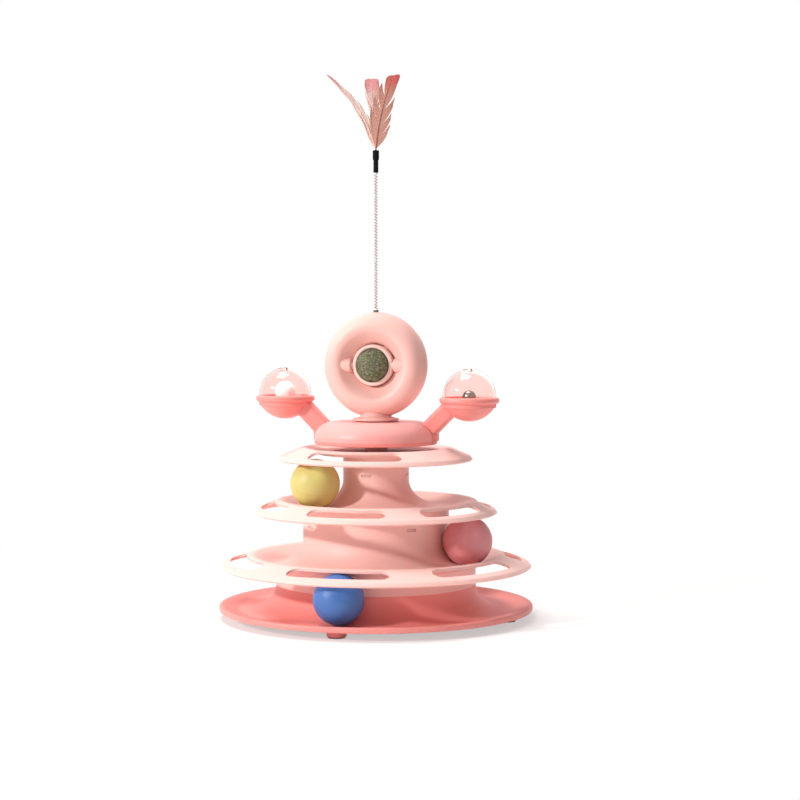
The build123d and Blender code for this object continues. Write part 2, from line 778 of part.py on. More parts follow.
def build_donut_solid(forward, grow):
    """Half of the head as a full solid, grown by a margin: it trims what has to follow the head's surface.

    forward is -1 for the front half and 1 for the rear one.
    """
    half_depth = donut_depth / 2 + grow
    rim_radius = donut_radius + grow
    throat_radius = donut_throat_radius - grow
    with BuildPart() as solid_half:
        with BuildSketch(donut_plane):
            with BuildLine():
                EllipticalCenterArc(
                    (0, donut_crest_radius),
                    half_depth,
                    rim_radius - donut_crest_radius,
                    start_angle=quarter_turn,
                    arc_size=-forward * quarter_turn,
                )
                FilletPolyline(
                    (forward * half_depth, donut_crest_radius),
                    (forward * half_depth, donut_crest_radius - donut_crest_flat),
                    (forward * donut_throat_length / 2, throat_radius),
                    (0, throat_radius),
                    radius=[donut_crest_round + grow, donut_throat_round - grow],
                )
                Line((0, rim_radius), (0, throat_radius))
            make_face()
        revolve(axis=donut_axis)
    return solid_half


def build_donut_half(forward):
    """Half of the head: a shell with screw bosses inside, open below for the neck and above for the wand."""
    with BuildPart() as bosses:
        with BuildSketch(Plane.XZ):
            with Locations((0, donut_z)):
                with PolarLocations(donut_screw_circle, donut_screw_count, cover_screw_turn):
                    Circle(donut_boss_radius)
        extrude(amount=-forward * donut_depth / 2)
        add(build_donut_solid(forward, -donut_wall / 2).part, mode=Mode.INTERSECT)
    with BuildPart() as half:
        add(build_donut_solid(forward, 0).part)
        add(build_donut_solid(forward, -donut_wall).part, mode=Mode.SUBTRACT)
        add(bosses.part)
        with Locations((0, 0, donut_z - donut_radius)):
            Cylinder(neck_post_radius + fit_gap, 2 * neck_post_rise, mode=Mode.SUBTRACT)
        with Locations((0, 0, socket_z)):
            Cylinder(socket_plug_radius + fit_gap, 2 * socket_plug_length, mode=Mode.SUBTRACT)
    return half


# Round head: two shells screwed together from behind, on a level axis through the tower's axis.
donut_axis = Axis((0, 0, donut_z), (0, 1, 0))
donut_plane = Plane(origin=(0, 0, donut_z), x_dir=(0, 1, 0), z_dir=(1, 0, 0))
ring_axis_place = (0, -ring_forward, donut_z)
donut_shell_front = build_donut_half(-1)
donut_shell_rear = build_donut_half(1)

# Front half: two rounded bosses stand in its funnel, and the catnip ring's trunnions turn in them.
with BuildPart() as left_boss:
    with BuildSketch(Plane.YZ.offset(-saddle_reach)):
        with Locations((-ring_forward, donut_z)):
            Circle(saddle_radius)
    extrude(amount=saddle_reach - saddle_start)
    fillet(left_boss.edges().group_by(Axis.X)[-1], saddle_round)
with BuildPart() as donut_front:
    add(donut_shell_front.part)
    add(left_boss.part)
    mirror(left_boss.part, about=Plane.YZ)
    with Locations(ring_axis_place):
        Cylinder(
            trunnion_radius + running_gap,
            2 * (trunnion_reach + fit_gap),
            rotation=(0, quarter_turn, 0),
            mode=Mode.SUBTRACT,
        )
    with BuildSketch(Plane.XZ):
        with Locations((0, donut_z)):
            with PolarLocations(donut_screw_circle, donut_screw_count, cover_screw_turn):
                Circle(small_screw_radius + screw_gap)
    extrude(amount=donut_screw_length - donut_screw_seat + overrun, mode=Mode.SUBTRACT)
save(donut_front, "donut_front")

# Rear half: a round dish with an open middle stands behind the catnip ring, and the screw bosses are
# counterbored from behind.
with BuildPart() as back_dish:
    with BuildSketch(Plane.XZ):
        with Locations((0, donut_z)):
            Circle(donut_throat_radius + donut_wall / 2)
    extrude(amount=-donut_throat_length / 2)
    with Locations(ring_axis_place):
        Sphere(donut_throat_radius + dish_wall, mode=Mode.INTERSECT)
        Sphere(donut_throat_radius, mode=Mode.SUBTRACT)
with BuildPart() as donut_rear:
    add(donut_shell_rear.part)
    add(back_dish.part)
    with BuildSketch(Plane.XZ):
        with Locations((0, donut_z)):
            with PolarLocations(donut_screw_circle, donut_screw_count, cover_screw_turn):
                Circle(small_screw_radius + screw_gap)
    extrude(amount=-donut_depth, mode=Mode.SUBTRACT)
    with BuildSketch(Plane.XZ.offset(-donut_screw_seat)):
        with Locations((0, donut_z)):
            with PolarLocations(donut_screw_circle, donut_screw_count, cover_screw_turn):
                Circle(small_screw_head_radius + fit_gap)
    extrude(amount=-donut_depth, mode=Mode.SUBTRACT)
save(donut_rear, "donut_rear")

with BuildPart() as donut_screws:
    with BuildSketch(Plane.XZ.offset(-donut_screw_seat)):
        with Locations((0, donut_z)):
            with PolarLocations(donut_screw_circle, donut_screw_count, cover_screw_turn):
                Circle(small_screw_head_radius)
    extrude(amount=-small_screw_head_height)
    with BuildSketch(Plane.XZ.offset(-donut_screw_seat)):
        with Locations((0, donut_z)):
            with PolarLocations(donut_screw_circle, donut_screw_count, cover_screw_turn):
                Circle(small_screw_radius)
    extrude(amount=donut_screw_length)
save(donut_screws, "donut_screws")

# Neck: a thin flange over the cover, plugged into the cover's collar, with a waist that meets the head.
with BuildPart() as neck:
    flange_low = cover_top_z + neck_shoulder_height
    flange_top = flange_low + neck_flange_edge
    waist_z = flange_top + neck_cone_height
    with BuildSketch(Plane.XZ):
        with BuildLine():
            Polyline(
                (0, cover_top_z),
                (neck_shoulder_radius, cover_top_z),
                (neck_shoulder_radius, flange_low),
                (neck_flange_radius, flange_low),
                (neck_flange_radius, flange_top),
                (neck_waist_radius, waist_z),
                (neck_waist_radius, waist_z + neck_waist_rise),
                (0, waist_z + neck_waist_rise),
                close=True,
            )
        make_face()
    revolve(axis=Axis.Z)
    for forward in (-1, 1):
        add(build_donut_solid(forward, fit_gap).part, mode=Mode.SUBTRACT)
    with BuildSketch(Plane.XY.offset(cover_top_z)):
        Circle(neck_plug_radius)
        Circle(neck_plug_radius - neck_plug_wall, mode=Mode.SUBTRACT)
    extrude(amount=-neck_plug_depth)
    with BuildSketch(Plane.XY.offset(cover_top_z)):
        Circle(neck_post_radius)
    extrude(amount=neck_height + neck_post_rise)
save(neck, "neck")

# Catnip ring: a narrow ring with two stub trunnions on a level axis, and the pressed ball that it holds.
with BuildPart() as catnip_ring:
    with BuildSketch(Plane(origin=ring_axis_place, x_dir=(0, 1, 0), z_dir=(1, 0, 0))):
        with Locations((0, ring_radius)):
            ring_depth = 2 * ring_round + overrun
            RectangleRounded(ring_thickness, ring_depth, ring_round, align=(Align.CENTER, Align.MAX))
    revolve(axis=Axis(ring_axis_place, (0, 1, 0)))
    with Locations(ring_axis_place):
        Cylinder(trunnion_radius, 2 * trunnion_reach, rotation=(0, quarter_turn, 0))
    trunnion_ends = catnip_ring.edges().group_by(Axis.X)
    fillet(trunnion_ends[0] + trunnion_ends[-1], trunnion_round)
    with Locations(ring_axis_place):
        Sphere(catnip_diameter / 2 + catnip_gap, mode=Mode.SUBTRACT)
save(catnip_ring, "catnip_ring")

with BuildPart() as catnip_ball:
    with Locations(ring_axis_place):
        Sphere(catnip_diameter / 2)
save(catnip_ball, "catnip_ball")

# Wand socket: a small collar on top of the head, with a plug that the two halves clamp.
with BuildPart() as wand_socket:
    with BuildSketch(Plane.XY.offset(socket_z)):
        Circle(socket_radius)
    extrude(amount=socket_height)
    with BuildSketch(Plane.XY.offset(socket_z)):
        Circle(socket_plug_radius)
    extrude(amount=-socket_plug_length)
save(wand_socket, "wand_socket")

# Wand spring: one wire wound in open turns between the socket and the sleeve. Each half turn is a pair of
# arcs that share a tangent, and the wire runs straight and upright where it meets its two seats.
coil_radius = (spring_diameter - spring_wire) / 2
coil_pitch = (spring_length - 2 * (spring_wire + spring_end_rise)) / (spring_turns - 0.5)
coil_slope = coil_pitch / (2 * pi * coil_radius)
coil_start_z = spring_z + spring_wire + spring_end_rise


def coil_point(turn):
    """The place and the direction of the coil after a number of turns."""
    angle = 2 * pi * turn
    height = coil_start_z + coil_pitch * (turn - 0.25)
    place = Vector(coil_radius * cos(angle), coil_radius * sin(angle), height)
    heading = Vector(-sin(angle), cos(angle), coil_slope).normalized()
    return place, heading


upward = Vector(0, 0, 1)
stations = [(Vector(coil_radius, 0, spring_z + spring_wire), upward)]
stations += [coil_point(0.25 + half / 2) for half in range(2 * spring_turns)]
stations.append((Vector(coil_radius, 0, sleeve_z - spring_wire), upward))
with BuildPart() as wand_spring:
    with BuildLine() as spring_path:
        Line((coil_radius, 0, spring_z), stations[0][0])
        for (start, leave), (end, arrive) in zip(stations, stations[1:]):
            span = end - start
            both = leave + arrive
            a = 4 - both.dot(both)
            b = span.dot(both)
            reach = (sqrt(b * b + a * span.dot(span)) - b) / a
            bend = start + leave * reach
            turn_in = end - arrive * reach
            middle = (bend + turn_in) / 2
            TangentArc(start, middle, tangent=leave)
            TangentArc(middle, end, tangent=turn_in - bend)
        Line(stations[-1][0], (coil_radius, 0, sleeve_z))
    with BuildSketch(Plane.XY.offset(spring_z)):
        with Locations((coil_radius, 0)):
            Circle(spring_wire / 2)
    sweep(path=spring_path.wires()[0])
save(wand_spring, "wand_spring")

# Wand sleeve: a soft black tube that grips the spring below and the quills above.
with BuildPart() as wand_sleeve:
    with BuildSketch(Plane.XY.offset(sleeve_z)):
        Circle(sleeve_radius)
    extrude(amount=sleeve_length)
    with BuildSketch(Plane.XY.offset(feather_z)):
        Circle(sleeve_grip_radius)
    extrude(amount=-sleeve_grip_length)
    fillet(wand_sleeve.edges().filter_by(GeomType.CIRCLE).group_by(SortBy.RADIUS)[-1], sleeve_round)
save(wand_sleeve, "wand_sleeve")


def build_feather(layer, length, lean, bow, half_width, width_shares):
    """A flat feather: its quill is a bowed line from the sleeve to the tip, with a vane on both sides of it.

    layer counts how many spacings the feather stands in front of the wand's axis.
    """
    turn = radians(feather_turn)
    towards = Vector(sin(turn), -cos(turn), 0)
    feather_plane = Plane(
        origin=Vector(0, 0, feather_z) + towards * (layer * feather_spacing - feather_thickness / 2),
        x_dir=(cos(turn), sin(turn), 0),
        z_dir=towards,
    )
    tip = Vector(lean, length)
    across = Vector(-length, lean).normalized()

    def quill(share):
        return tip * share + across * (4 * bow * share * (1 - share))

    def edge(sign):
        shares = zip(vane_station_shares, width_shares)
        return [quill(station) + across * (sign * half_width * width) for station, width in shares]

    with BuildPart() as feather:
        with BuildSketch(feather_plane):
            with BuildLine():
                left_foot = (-quill_width / 2, 0)
                right_foot = (quill_width / 2, 0)
                Spline(left_foot, *edge(1), tip)
                Spline(right_foot, *edge(-1), tip)
                Line(left_foot, right_foot)
            make_face()
        extrude(amount=feather_thickness)
    return feather


# Feathers: two broad ones, one behind the other, and a long slim one that bends away to the left.
front_feather = build_feather(
    layer=1,
    length=front_feather_length,
    lean=front_feather_lean,
    bow=front_feather_bow,
    half_width=front_feather_half_width,
    width_shares=broad_width_shares,
)
save(front_feather, "front_feather")
back_feather = build_feather(
    layer=-1,
    length=back_feather_length,
    lean=back_feather_lean,
    bow=back_feather_bow,
    half_width=back_feather_half_width,
    width_shares=broad_width_shares,
)
save(back_feather, "back_feather")
slim_feather = build_feather(
    layer=0,
    length=slim_feather_length,
    lean=slim_feather_lean,
    bow=slim_feather_bow,
    half_width=slim_feather_half_width,
    width_shares=slim_width_shares,
)
save(slim_feather, "slim_feather")


def build_ball(track_radius, floor_z, angle):
    """A hollow ball that lies on a track's floor, at an angle round the tower."""
    turn = radians(angle)
    with BuildPart() as ball:
        ball_z = floor_z + rest_gap + ball_radius
        with Locations((track_radius * cos(turn), track_radius * sin(turn), ball_z)):
            Sphere(ball_radius)
            Sphere(ball_radius - ball_wall, mode=Mode.SUBTRACT)
    return ball


# Balls, one in each track.
save(build_ball(lower_track_radius, lower_floor_z, blue_ball_angle), "blue_ball")
save(build_ball(middle_track_radius, middle_floor_z, pink_ball_angle), "pink_ball")
save(build_ball(upper_track_radius, upper_floor_z, yellow_ball_angle), "yellow_ball")

# The wire's least clearance to itself, measured between points along it that lie over half a turn apart.
wire_points = [tuple(edge @ share) for edge in spring_path.edges() for share in (0, 0.25, 0.5, 0.75)]
half_turn_steps = 10
least = min(
    dist(wire_points[i], wire_points[j])
    for i in range(len(wire_points))
    for j in range(i + half_turn_steps, min(i + 4 * half_turn_steps, len(wire_points)))
)
print("spring: least gap between turns", round(least - spring_wire, 3), "mm")
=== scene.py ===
import bpy
import numpy as np
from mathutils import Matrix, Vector


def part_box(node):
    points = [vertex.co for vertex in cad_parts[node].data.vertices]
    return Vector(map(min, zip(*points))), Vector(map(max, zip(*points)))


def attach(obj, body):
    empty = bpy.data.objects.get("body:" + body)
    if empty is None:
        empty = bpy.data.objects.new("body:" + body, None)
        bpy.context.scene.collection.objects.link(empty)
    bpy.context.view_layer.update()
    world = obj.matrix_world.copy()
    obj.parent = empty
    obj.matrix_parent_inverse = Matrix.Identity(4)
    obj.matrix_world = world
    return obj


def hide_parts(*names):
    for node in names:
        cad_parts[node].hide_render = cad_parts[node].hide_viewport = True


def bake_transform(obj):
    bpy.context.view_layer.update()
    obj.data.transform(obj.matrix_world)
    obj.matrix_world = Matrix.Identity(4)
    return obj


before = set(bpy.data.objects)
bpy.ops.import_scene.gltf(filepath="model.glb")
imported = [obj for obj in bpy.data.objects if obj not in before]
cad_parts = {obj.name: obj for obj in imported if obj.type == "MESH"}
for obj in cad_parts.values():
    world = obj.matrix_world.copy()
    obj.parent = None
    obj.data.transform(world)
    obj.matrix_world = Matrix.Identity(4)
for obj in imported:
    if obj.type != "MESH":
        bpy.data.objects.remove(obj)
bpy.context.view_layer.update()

# Base tray: the wide coral dish that the whole tower stands on, moulded in one piece with its column.
# A satin polypropylene, slightly cloudy, with the fine grain that a spark-eroded mould leaves on it.


def tone(red, green, blue):
    """An sRGB colour, 0 to 255 per channel, as the linear values that sockets take."""
    share = np.array((red, green, blue)) / 255
    return (*np.where(share <= 0.04045, share / 12.92, ((share + 0.055) / 1.055) ** 2.4), 1.0)


def fill(node, sockets):
    """Sets a node's inputs, each by its name or number, and gives the node back."""
    for socket, value in sockets.items():
        node.inputs[socket].default_value = value
    return node


def add_node(tree, kind, sockets=None, **settings):
    """A node of one kind in a tree, with its properties set by name and its inputs filled."""
    made = tree.nodes.new(kind)
    for name, value in settings.items():
        setattr(made, name, value)
    return fill(made, sockets or {})


def link(tree, *wires):
    """Wires in a tree: each is a node and one of its outputs, then the next node and one of its inputs."""
    for source, output, target, socket in wires:
        tree.links.new(source.outputs[output], target.inputs[socket])


def new_group(name, takes, gives):
    """An empty shader group with its named sockets, each with its kind, and the nodes for its two ends."""
    group = bpy.data.node_groups.new(name, "ShaderNodeTree")
    for direction, sockets in (("INPUT", takes), ("OUTPUT", gives)):
        for socket, kind in sockets.items():
            group.interface.new_socket(socket, in_out=direction, socket_type="NodeSocket" + kind)
    return group, add_node(group, "NodeGroupInput"), add_node(group, "NodeGroupOutput")


def new_material(name, sockets=None):
    """A material with only its Principled shader, whose inputs are filled, and its output."""
    material = bpy.data.materials.new(name)
    material.use_nodes = True
    shader = fill(material.node_tree.nodes["Principled BSDF"], sockets or {})
    return material, material.node_tree, shader


# moulded_skin: broad, faint flow clouds between two colours, an uneven dullness, and the grain as a height.
moulded_skin, skin_in, skin_out = new_group(
    "moulded_skin",
    {"Colour": "Color", "Flow Colour": "Color", "Dullness": "Float"},
    {"Colour": "Color", "Roughness": "Float", "Grain": "Float"},
)
grain_dullness = 0.14
skin_place = add_node(moulded_skin, "ShaderNodeTexCoord")
skin_flow = add_node(moulded_skin, "ShaderNodeTexNoise", {"Scale": 16.0, "Detail": 3.0})
skin_grain = add_node(moulded_skin, "ShaderNodeTexNoise", {"Scale": 1500.0, "Detail": 2.0})
skin_mix = add_node(moulded_skin, "ShaderNodeMix", data_type="RGBA")
skin_dull = add_node(moulded_skin, "ShaderNodeMath", {1: grain_dullness}, operation="MULTIPLY_ADD")
link(
    moulded_skin,
    (skin_place, "Object", skin_flow, "Vector"),
    (skin_place, "Object", skin_grain, "Vector"),
    (skin_flow, "Fac", skin_mix, "Factor"),
    (skin_in, "Colour", skin_mix, "A"),
    (skin_in, "Flow Colour", skin_mix, "B"),
    (skin_grain, "Fac", skin_dull, 0),
    (skin_in, "Dullness", skin_dull, 2),
    (skin_mix, "Result", skin_out, "Colour"),
    (skin_dull, "Value", skin_out, "Roughness"),
    (skin_grain, "Fac", skin_out, "Grain"),
)


def moulded_plastic(name, colour, flow_colour, dull, cloud):
    """A satin moulded plastic: the shared skin over a shader that lets in a share of the light, its cloud."""
    inside = {"Subsurface Weight": cloud, "Subsurface Radius": (1.0, 0.45, 0.35), "Subsurface Scale": 0.003}
    material, tree, shader = new_material(name, inside)
    look = {"Colour": tone(*colour), "Flow Colour": tone(*flow_colour), "Dullness": dull}
    skin = add_node(tree, "ShaderNodeGroup", look, node_tree=moulded_skin)
    bump = add_node(tree, "ShaderNodeBump", {"Strength": 0.10, "Distance": 0.00008})
    link(
        tree,
        (skin, "Colour", shader, "Base Color"),
        (skin, "Roughness", shader, "Roughness"),
        (skin, "Grain", bump, "Height"),
        (bump, "Normal", shader, "Normal"),
    )
    return material


def dress(material, *names):
    """Gives CAD nodes their finish in place of the plain packed one."""
    for name in names:
        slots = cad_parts[name].data.materials
        slots.clear()
        slots.append(material)


coral_plastic = moulded_plastic("coral_plastic", (247, 153, 146), (243, 144, 137), dull=0.40, cloud=0.10)
dress(coral_plastic, "base_tray")

# Foot pads: four thin discs of grey-pink rubber, glued under the foot bosses so that the tower stays put.
# The rubber is matt and lets no light in.
pad_rubber = moulded_plastic("pad_rubber", (196, 176, 172), (180, 160, 157), dull=0.72, cloud=0.0)
dress(pad_rubber, "foot_pads")

# Tiers: three pale pink mouldings that slide over each other's spigots and latch through small windows.
# The same satin plastic as the tray's, with more white in it.
pale_plastic = moulded_plastic("pale_plastic", (250, 205, 197), (248, 198, 190), dull=0.42, cloud=0.12)
dress(pale_plastic, "lower_tier", "middle_tier", "top_tier")

# Spindle, washers, screws and the bell's pea: bare turned and headed steel, finely mottled. The spindle is
# pressed up through the roof, a screw in its end holds the spinner, and the other screws hold the spinner
# and the head together from below and from behind.

# mottled_shine: a fine mottle, and a roughness that follows it from the least to the most.
mottled_shine, mottle_in, mottle_out = new_group(
    "mottled_shine",
    {"Scale": "Float", "Least": "Float", "Most": "Float"},
    {"Mottle": "Float", "Roughness": "Float"},
)
mottle_place = add_node(mottled_shine, "ShaderNodeTexCoord")
mottle_noise = add_node(mottled_shine, "ShaderNodeTexNoise")
mottle_range = add_node(mottled_shine, "ShaderNodeMapRange")
link(
    mottled_shine,
    (mottle_place, "Object", mottle_noise, "Vector"),
    (mottle_in, "Scale", mottle_noise, "Scale"),
    (mottle_noise, "Fac", mottle_range, "Value"),
    (mottle_in, "Least", mottle_range, "To Min"),
    (mottle_in, "Most", mottle_range, "To Max"),
    (mottle_noise, "Fac", mottle_out, "Mottle"),
    (mottle_range, "Result", mottle_out, "Roughness"),
)


def mottle(tree, shader, scale, least, most):
    """Places the mottle in a material as its shader's roughness, and gives the group's node back."""
    look = {"Scale": scale, "Least": least, "Most": most}
    placed = add_node(tree, "ShaderNodeGroup", look, node_tree=mottled_shine)
    link(tree, (placed, "Roughness", shader, "Roughness"))
    return placed


def colour_ramp(tree, *stops):
    """A ramp through stops, each a share of the way, from 0 to 1, and the sRGB colour there."""
    ramp = add_node(tree, "ShaderNodeValToRGB")
    points = ramp.color_ramp.elements
    points[0].color = tone(*stops[0][1])
    points[1].color = tone(*stops[-1][1])
    for share, colour in stops[1:-1]:
        points.new(share).color = tone(*colour)
    return ramp


pin_steel, pin_tree, pin_shader = new_material("pin_steel", {"Metallic": 1.0})
pin_mottle = mottle(pin_tree, pin_shader, scale=900.0, least=0.25, most=0.42)
pin_ramp = colour_ramp(pin_tree, (0.0, (150, 150, 152)), (1.0, (196, 196, 198)))
link(pin_tree, (pin_mottle, "Mottle", pin_ramp, "Fac"), (pin_ramp, "Color", pin_shader, "Base Color"))
dress(
    pin_steel, "spindle", "thrust_washer", "retaining_washer", "retaining_screw",
    "spinner_screws", "arm_screws", "donut_screws", "bell_pea",
)

# Spinner and arms: the plate and the two arms with their bowls, moulded in the tray's coral, and the rounded
# cover, a shade lighter. The arms stand in notches of the cover and are screwed to the plate from below.
cover_plastic = moulded_plastic("cover_plastic", (251, 174, 169), (247, 166, 161), dull=0.36, cloud=0.10)
dress(cover_plastic, "spinner_cover")
dress(coral_plastic, "spinner_base", "left_arm", "right_arm")

# Rattle floors: discs that lie on a ledge inside the bowls, under the rattles.
# They are moulded in a duller plastic than the arms', without its cloudiness, and coloured a darker mauve, a
# painted shade for the shaded inside of the bowls.
floor_painted_shade = moulded_plastic("floor_painted_shade", (196, 132, 134), (186, 122, 126), dull=0.55, cloud=0.0)
dress(floor_painted_shade, "left_floor", "right_floor")

# Domes: clear thin caps that stand in the bowls' seats, with sound slots round the pole.
# Clear polystyrene with a faint pink cast and a fine haze from handling. Lamps shine through it.
clear_plastic, clear_tree, clear_shader = new_material(
    "clear_plastic", {"Base Color": tone(255, 236, 232), "Transmission Weight": 1.0, "IOR": 1.38}
)
mottle(clear_tree, clear_shader, scale=120.0, least=0.02, most=0.10)
clear_path = add_node(clear_tree, "ShaderNodeLightPath")
clear_hole = add_node(clear_tree, "ShaderNodeBsdfTransparent")
clear_mix = add_node(clear_tree, "ShaderNodeMixShader")
link(
    clear_tree,
    (clear_path, "Is Shadow Ray", clear_mix, "Fac"),
    (clear_shader, "BSDF", clear_mix, 1),
    (clear_hole, "BSDF", clear_mix, 2),
    (clear_mix, "Shader", clear_tree.nodes["Material Output"], "Surface"),
)
dress(clear_plastic, "left_dome", "right_dome")

# Rattle ball: a loose white ball of thin plastic, welded from two halves along a faint line.
# The three track balls have such a line too, so it is a group.

# weld_line: 1 at the plane through a ball's middle, square to the way across it, fading to 0 beside it.
weld_line, weld_in, weld_out = new_group(
    "weld_line", {"Middle": "Vector", "Across": "Vector"}, {"Line": "Float"}
)
weld_core, weld_edge = 0.00008, 0.00028
weld_fade = {"From Min": weld_core, "From Max": weld_edge, "To Min": 1.0, "To Max": 0.0}
weld_place = add_node(weld_line, "ShaderNodeTexCoord")
weld_offset = add_node(weld_line, "ShaderNodeVectorMath", operation="SUBTRACT")
weld_height = add_node(weld_line, "ShaderNodeVectorMath", operation="DOT_PRODUCT")
weld_size = add_node(weld_line, "ShaderNodeMath", operation="ABSOLUTE")
weld_mask = add_node(weld_line, "ShaderNodeMapRange", weld_fade, interpolation_type="SMOOTHSTEP")
link(
    weld_line,
    (weld_place, "Object", weld_offset, 0),
    (weld_in, "Middle", weld_offset, 1),
    (weld_offset, "Vector", weld_height, 0),
    (weld_in, "Across", weld_height, 1),
    (weld_height, "Value", weld_size, 0),
    (weld_size, "Value", weld_mask, "Value"),
    (weld_mask, "Result", weld_out, "Line"),
)


def ball_plastic(name, node, colour, flow_colour, dull, across):
    """Moulded plastic with the weld line of a ball made in two halves, a little darker and sunk."""
    material = moulded_plastic(name, colour, flow_colour, dull, cloud=0.05)
    tree = material.node_tree
    shader = tree.nodes["Principled BSDF"]
    skin = shader.inputs["Base Color"].links[0].from_node
    grain = shader.inputs["Normal"].links[0].from_node
    low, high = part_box(node)
    plane = {"Middle": (low + high) / 2, "Across": Vector(across).normalized()}
    shade = {"B": (0.86, 0.86, 0.86, 1.0)}
    weld = add_node(tree, "ShaderNodeGroup", plane, node_tree=weld_line)
    dark = add_node(tree, "ShaderNodeMix", shade, data_type="RGBA", blend_type="MULTIPLY")
    sunk = add_node(tree, "ShaderNodeBump", {"Strength": 0.35, "Distance": 0.0002}, invert=True)
    link(
        tree,
        (weld, "Line", dark, "Factor"),
        (skin, "Colour", dark, "A"),
        (dark, "Result", shader, "Base Color"),
        (weld, "Line", sunk, "Height"),
        (grain, "Normal", sunk, "Normal"),
        (sunk, "Normal", shader, "Normal"),
    )
    return material


white_plastic = ball_plastic(
    "white_plastic", "rattle_ball", (244, 242, 240), (238, 235, 233), dull=0.30, across=(0.3, 0.2, 1.0)
)
dress(white_plastic, "rattle_ball")

# Jingle bell: two pressed half shells of plated steel, folded together at the band, with slots below.
# The plating is slightly uneven. Its colour is set darker than bright plating, a painted reflection of dark
# surroundings.
bell_painted_reflection, bell_tree, bell_shader = new_material(
    "bell_painted_reflection", {"Base Color": tone(138, 136, 130), "Metallic": 1.0}
)
mottle(bell_tree, bell_shader, scale=260.0, least=0.10, most=0.26)
dress(bell_painted_reflection, "rattle_bell")

# Neck, round head and catnip ring: moulded, the head a shade pinker than the tiers and the ring paler.
# The neck plugs into the cover. The head is two shells screwed together from behind, and the ring's
# trunnions turn in two bosses on its front half.
head_plastic = moulded_plastic("head_plastic", (250, 198, 189), (247, 190, 181), dull=0.40, cloud=0.12)
dress(head_plastic, "neck", "donut_front", "donut_rear")
ring_plastic = moulded_plastic("ring_plastic", (252, 214, 204), (250, 207, 197), dull=0.38, cloud=0.12)
dress(ring_plastic, "catnip_ring")

# Catnip ball: dried leaf and stem pressed into a ball, held in the ring by its rim.
# A rough crumbly surface of green flakes with grey and brown bits, so flakes stand on a lumpy core.


def put_mesh(name, points, smooth, *faces):
    """A mesh object at the origin, from one array of points and any number of arrays of faces."""
    mesh = bpy.data.meshes.new(name)
    mesh.from_pydata(points.reshape(-1, 3).tolist(), [], [face for kind in faces for face in kind.tolist()])
    mesh.polygons.foreach_set("use_smooth", np.full(len(mesh.polygons), smooth))
    mesh.update()
    piece = bpy.data.objects.new(name, mesh)
    bpy.context.scene.collection.objects.link(piece)
    return piece


def grid_faces(rows, columns, closed):
    """Quads between neighbours in a grid of points, row by row; closed joins the last column to the first."""
    across = np.arange(columns if closed else columns - 1)
    here = np.arange(rows - 1)[:, None] * columns + across[None, :]
    right = np.arange(rows - 1)[:, None] * columns + (across[None, :] + 1) % columns
    return np.stack((here, right, right + columns, here + columns), axis=-1).reshape(-1, 4)


def ball_ways(rows, columns):
    """Directions all over a ball: belts by turn, from the south to the north, then the two poles."""
    tilt = np.linspace(np.pi, 0.0, rows + 2)[1:-1, None]
    turn = np.linspace(0.0, 2 * np.pi, columns, endpoint=False)[None, :]
    out, rise = np.sin(tilt), np.cos(tilt)
    belts = np.stack((out * np.cos(turn), out * np.sin(turn), rise * np.ones_like(turn)), axis=-1)
    return np.concatenate((belts.reshape(-1, 3), ((0.0, 0.0, -1.0), (0.0, 0.0, 1.0))))


def ball_faces(rows, columns):
    """Quads between the belts, and triangles from the first and the last belt to the pole beyond it."""
    around = np.arange(columns)
    ahead = (around + 1) % columns
    last = (rows - 1) * columns
    south = np.full(columns, rows * columns)
    south_cap = np.stack((ahead, around, south), axis=-1)
    north_cap = np.stack((last + around, last + ahead, south + 1), axis=-1)
    return grid_faces(rows, columns, True), south_cap, north_cap


def unit(vectors):
    """Each vector of an array, divided by its own length."""
    return vectors / np.linalg.norm(vectors, axis=-1, keepdims=True)


def lumps(ways, seed, count, width, height):
    """Sum of smooth bumps: each adds height times exp((cos(angle to its centre) - 1) / width squared)."""
    draw = np.random.default_rng(seed)
    centres = unit(draw.normal(size=(count, 3)))
    weights = draw.uniform(-1, 1, count)
    return height * np.exp((ways @ centres.T - 1) / width**2) @ weights


# Core: in each direction the radius is a share of the ball's, plus broad lumps and small crumbs.
catnip_low, catnip_high = np.array(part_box("catnip_ball"))
catnip_middle = (catnip_low + catnip_high) / 2
catnip_radius = (catnip_high - catnip_low).max() / 2
catnip_core_share = 0.972
catnip_rows, catnip_columns = 80, 160
catnip_ways = ball_ways(catnip_rows, catnip_columns)
catnip_lumps = lumps(catnip_ways, seed=3, count=160, width=0.16, height=0.010)
catnip_crumbs = lumps(catnip_ways, seed=4, count=900, width=0.05, height=0.010)
catnip_reach = catnip_core_share + (catnip_lumps + catnip_crumbs)[:, None]
catnip_shell = catnip_middle + catnip_radius * catnip_ways * catnip_reach
catnip_core = put_mesh("catnip_core", catnip_shell, True, *ball_faces(catnip_rows, catnip_columns))

# Flakes: each is a thin four-cornered double pyramid, lying on the ball at a random place, turn and lean.
flake_count, flake_seed = 1500, 8
flake_lean_share = 0.35
flake_half_lengths, flake_half_widths, flake_half_depth = (0.0004, 0.0011), (0.0002, 0.00055), 0.00012
flake_place_shares = (0.955, 0.985)
flake_draw = np.random.default_rng(flake_seed)
flake_up = unit(flake_draw.normal(size=(flake_count, 3)))
flake_lean = unit(flake_up + flake_lean_share * flake_draw.normal(size=(flake_count, 3)))
flake_along = unit(np.cross(flake_lean, flake_draw.normal(size=(flake_count, 3))))
flake_across = np.cross(flake_lean, flake_along)
flake_length = flake_along * flake_draw.uniform(*flake_half_lengths, (flake_count, 1))
flake_width = flake_across * flake_draw.uniform(*flake_half_widths, (flake_count, 1))
flake_depth = np.cross(flake_along, flake_across) * flake_half_depth
flake_place = catnip_radius * flake_draw.uniform(*flake_place_shares, (flake_count, 1))
flake_middle = catnip_middle + flake_up * flake_place
